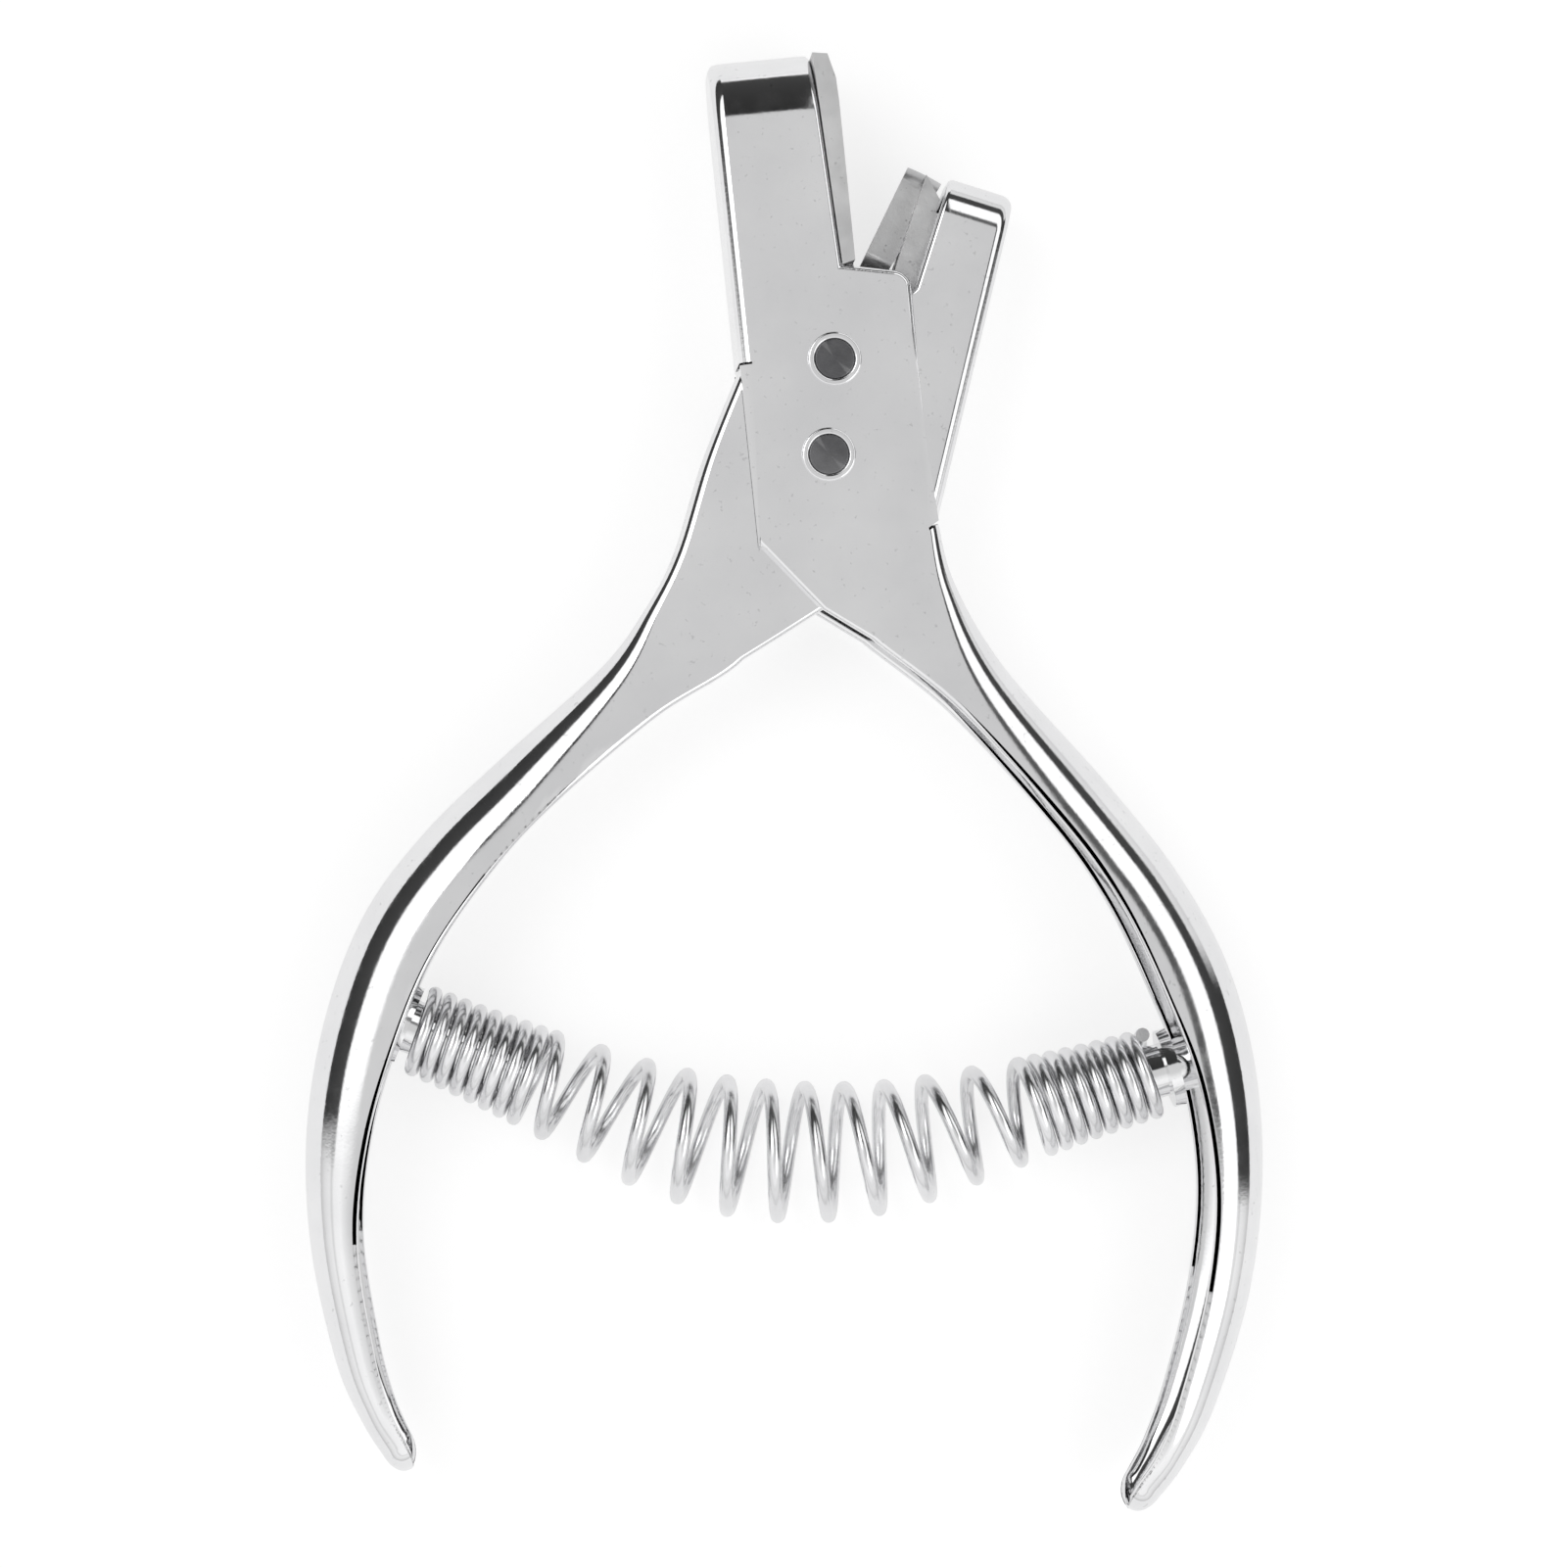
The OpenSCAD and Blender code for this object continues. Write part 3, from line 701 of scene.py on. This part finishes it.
for name, y in (("pivot", 0.0), ("stop", -STOP_R)):
    top = 2 * MID - PIN_INSET
    pin = lathe(name + "_pin_turned", rounded([(0, 0), (PIN_R, 0), (PIN_R, top), (0, top)], PIN_ROUNDING))
    place(pin, (0, y, 0))
    finish_shading(pin)
    dress(pin, pin_metal)
    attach(pin, DIE_BODY)
    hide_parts(name + "_pin")
    for face, low in (("rear", 0.0), ("front", 2 * MID - COLLAR_H - COLLAR_INSET)):
        high = low + COLLAR_H
        hole = PIN_R + RING_GAP
        ring = rounded([(hole, low), (COLLAR_R, low), (COLLAR_R, high), (hole, high)], COLLAR_ROUNDING)
        collar = lathe(f"{name}_collar_{face}", ring + ring[:1])
        place(collar, (0, y, 0))
        finish_shading(collar)
        dress(collar, plate_metal)
        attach(collar, DIE_BODY)
        if face == "front":
            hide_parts(name + "_collars")

# ------------------------------------------------------------------ block-like parts


def softened(node, body, mat, width):
    """A copy of a CAD node with its edges rounded, which stands for it."""
    obj = bpy.data.objects.new(node + "_soft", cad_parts[node].data.copy())
    bpy.context.scene.collection.objects.link(obj)
    bm = bmesh.new()
    bm.from_mesh(obj.data)
    bmesh.ops.remove_doubles(bm, verts=bm.verts, dist=1e-6)
    bmesh.ops.dissolve_limit(bm, angle_limit=math.radians(1.5), verts=bm.verts, edges=bm.edges)
    bm.to_mesh(obj.data)
    bm.free()
    bevel = obj.modifiers.new("edges", "BEVEL")
    bevel.limit_method = "ANGLE"
    bevel.angle_limit = math.radians(35)
    bevel.width = width * MM
    bevel.segments = 2
    apply_modifiers(obj)
    finish_shading(obj)
    dress(obj, mat)
    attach(obj, body)
    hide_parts(node)


softened("die_plate", DIE_BODY, die_metal, 0.2)
softened("punch", PUNCH_BODY, tool_metal, 0.1)
softened("punch_holder", PUNCH_BODY, tool_metal, 0.3)

for node, mat in (
    ("pivot_sleeve", tool_metal), ("pivot_washers", tool_metal), ("stop_sleeve", tool_metal),
    ("die_block", die_metal), ("die_screws", pin_metal), ("holder_screws", pin_metal),
    ("spring_peg_left", plate_metal), ("spring_peg_right", plate_metal),
):
    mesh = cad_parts[node].data
    mesh.materials.clear()
    mesh.materials.append(mat)


def bead(name, start, end, z, seed):
    """A rough line of weld between the punch and its holder."""
    rise = end[1] - start[1]
    centre = [Vector((start[0] + (end[0] - start[0]) * k / BEAD_STEPS, start[1] + rise * k / BEAD_STEPS, z))
              for k in range(BEAD_STEPS + 1)]
    obj = wire_mesh(name, centre, BEAD_R, BEAD_SIDES)
    for v in obj.data.vertices:
        p = v.co / MM
        near = centre[min(BEAD_STEPS, max(0, round((p.y - start[1]) / rise * BEAD_STEPS)))]
        lump = 0.35 + 0.9 * noise.noise(Vector((p.x * 1.7, p.y * 1.7, p.z * 1.7 + seed)))
        v.co = (near + (p - near) * max(0.2, lump + 0.5)) * MM
    finish_shading(obj)
    dress(obj, tool_metal)
    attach(obj, PUNCH_BODY)


BEAD_R = 0.22
BEAD_STEPS = 70
BEAD_SIDES = 10
PUNCH_HALF = 2.0            # half thickness of the punch
HOLDER_LEAN = -14.7         # lean of the holder's face with the jaws open
seam_low, seam_high = turned((3.38, 10.3), HOLDER_LEAN), turned((3.38, 20.8), HOLDER_LEAN)
bead("seam_front", seam_low, seam_high, MID + PUNCH_HALF, 3.0)
bead("seam_rear", seam_low, seam_high, MID - PUNCH_HALF, 11.0)

# ------------------------------------------------------------------ floor, light and camera

FLOOR_HALF = 1.5            # metres
FLOOR_GLOW = 0.72
MIRRORED_GLOW = 0.62        # the same, in reflections
BACKDROP = 0.93             # tone the camera sees beyond the floor


def floor():
    """A pale floor that glows, a little less in reflections."""
    mesh = bpy.data.meshes.new("floor")
    s = FLOOR_HALF
    mesh.from_pydata([(-s, -s, 0), (s, -s, 0), (s, s, 0), (-s, s, 0)], [], [(0, 1, 2, 3)])
    obj = bpy.data.objects.new("floor", mesh)
    bpy.context.scene.collection.objects.link(obj)
    mat, tree, bsdf = new_material("pale_floor")
    cloud = noise_value(tree, FLOOR_SCALE, 3.0)
    tone = mix_colour(tree, cloud, (0.33, 0.33, 0.33), (0.36, 0.36, 0.36))
    tree.links.new(tone, bsdf.inputs["Base Color"])
    bsdf.inputs["Emission Color"].default_value = (1, 1, 1, 1)
    path = tree.nodes.new("ShaderNodeLightPath")
    glow = remap(tree, path.outputs["Is Glossy Ray"], 0.0, 1.0, FLOOR_GLOW, MIRRORED_GLOW)
    tree.links.new(glow, bsdf.inputs["Emission Strength"])
    bsdf.inputs["Roughness"].default_value = 0.9
    bsdf.inputs["Specular IOR Level"].default_value = 0.1
    mesh.materials.append(mat)


def studio_world():
    """Pale surroundings with dark stretches on the far side, beyond the jaws.

    They lie low on the left and the right, and reach from low down to near overhead
    between these. On the right there is a thin dark band near overhead as well."""
    world = bpy.data.worlds.new("studio")
    bpy.context.scene.world = world
    world.use_nodes = True
    tree = world.node_tree
    tree.nodes.clear()
    out = tree.nodes.new("ShaderNodeOutputWorld")
    background = tree.nodes.new("ShaderNodeBackground")
    tree.links.new(background.outputs["Background"], out.inputs["Surface"])
    coord = tree.nodes.new("ShaderNodeTexCoord")
    split = tree.nodes.new("ShaderNodeSeparateXYZ")
    tree.links.new(coord.outputs["Generated"], split.inputs["Vector"])

    def ramp(value, stops):
        node = tree.nodes.new("ShaderNodeValToRGB")
        node.color_ramp.interpolation = "LINEAR"
        elements = node.color_ramp.elements
        while len(elements) > 1:
            elements.remove(elements[-1])
        elements[0].position, elements[0].color = stops[0][0], (stops[0][1],) * 3 + (1,)
        for position, tone in stops[1:]:
            elements.new(position).color = (tone, tone, tone, 1)
        tree.links.new(value, node.inputs["Fac"])
        return node.outputs["Color"]

    def between(value, low, high, feather):
        """1 where value lies between low and high, with soft borders."""
        rise = remap(tree, value, low - feather, low + feather, 0.0, 1.0)
        fall = remap(tree, value, high - feather, high + feather, 1.0, 0.0)
        node = tree.nodes.new("ShaderNodeMath")
        node.operation = "MULTIPLY"
        tree.links.new(rise, node.inputs[0])
        tree.links.new(fall, node.inputs[1])
        return node.outputs[0]

    # Tones by height, with z from 0 at the horizon to 1 overhead
    height = split.outputs["Z"]
    overhead = [(0.974, 0.70), (1.0, 0.70)]
    far_left = ramp(height, [
        (0.0, 0.04), (0.56, 0.06), (0.61, 1.25), (0.955, 1.25), (0.972, 0.70), (1.0, 0.70)])
    far_right = ramp(height, [
        (0.0, 0.04), (0.56, 0.06), (0.61, 1.25), (0.90, 1.25), (0.925, 0.10), (0.962, 0.10)] + overhead)
    far_top = ramp(height, [
        (0.0, 0.9), (0.08, 1.1), (0.13, 0.06), (0.962, 0.03)] + overhead)
    near_side = ramp(height, [
        (0.0, 0.62), (0.2, 0.85), (0.42, 0.95), (0.5, 0.75), (0.58, 1.0), (0.8, 1.05), (0.93, 0.85),
        (0.975, 0.70), (1.0, 0.70)])
    far_corner = ramp(height, [
        (0.0, 0.75), (0.24, 0.85), (0.30, 0.06), (0.54, 0.06), (0.60, 1.25), (0.89, 1.25), (0.91, 0.06),
        (0.965, 0.06)] + overhead)
    far_right = mix_colour(tree, between(split.outputs["Y"], 0.36, 2.0, 0.06), far_right, far_corner)
    far = mix_colour(tree, between(split.outputs["X"], 0.095, 2.0, 0.02), far_left, far_right)
    far = mix_colour(tree, between(split.outputs["X"], -0.22, 0.09, 0.02), far, far_top)
    all_round = mix_colour(tree, between(split.outputs["Y"], -0.05, 2.0, 0.02), near_side, far)
    path = tree.nodes.new("ShaderNodeLightPath")
    seen = tree.nodes.new("ShaderNodeMix")
    seen.data_type = "RGBA"
    tree.links.new(path.outputs["Is Camera Ray"], seen.inputs["Factor"])
    tree.links.new(all_round, seen.inputs[6])
    seen.inputs[7].default_value = (BACKDROP, BACKDROP, BACKDROP, 1)
    tree.links.new(seen.outputs[2], background.inputs["Color"])
    background.inputs["Strength"].default_value = 1.0


def area_light(name, at, target, size, power):
    data = bpy.data.lights.new(name, "AREA")
    data.shape = "DISK"
    data.size = size
    data.energy = power
    obj = bpy.data.objects.new(name, data)
    obj.location = at
    obj.rotation_euler = (Vector(target) - Vector(at)).to_track_quat("-Z", "Y").to_euler()
    bpy.context.scene.collection.objects.link(obj)


def camera():
    """Straight down on the tool, a little from its left, with the tool turned slightly clockwise."""
    target = Vector((-2.6, -44.6, 2 * MID)) * MM
    at = target + Vector((-23.5, 0.0, 450.0)) * MM
    roll = math.radians(3.5)
    back = (at - target).normalized()
    up = Vector((-math.sin(roll), math.cos(roll), 0))
    right = up.cross(back).normalized()
    up = back.cross(right)
    data = bpy.data.cameras.new("camera")
    data.sensor_width = 36
    data.lens = 99.3
    obj = bpy.data.objects.new("camera", data)
    obj.matrix_world = Matrix.Translation(at) @ Matrix((right, up, back)).transposed().to_4x4()
    bpy.context.scene.collection.objects.link(obj)
    bpy.context.scene.camera = obj


floor()
studio_world()
area_light("key", (-0.5, 0.2, 0.9), (0, -0.04, 0), 0.5, 1.2)
area_light("fill", (0.6, -0.3, 0.8), (0, -0.04, 0), 0.6, 0.8)
camera()
bpy.context.scene.view_settings.view_transform = "Standard"
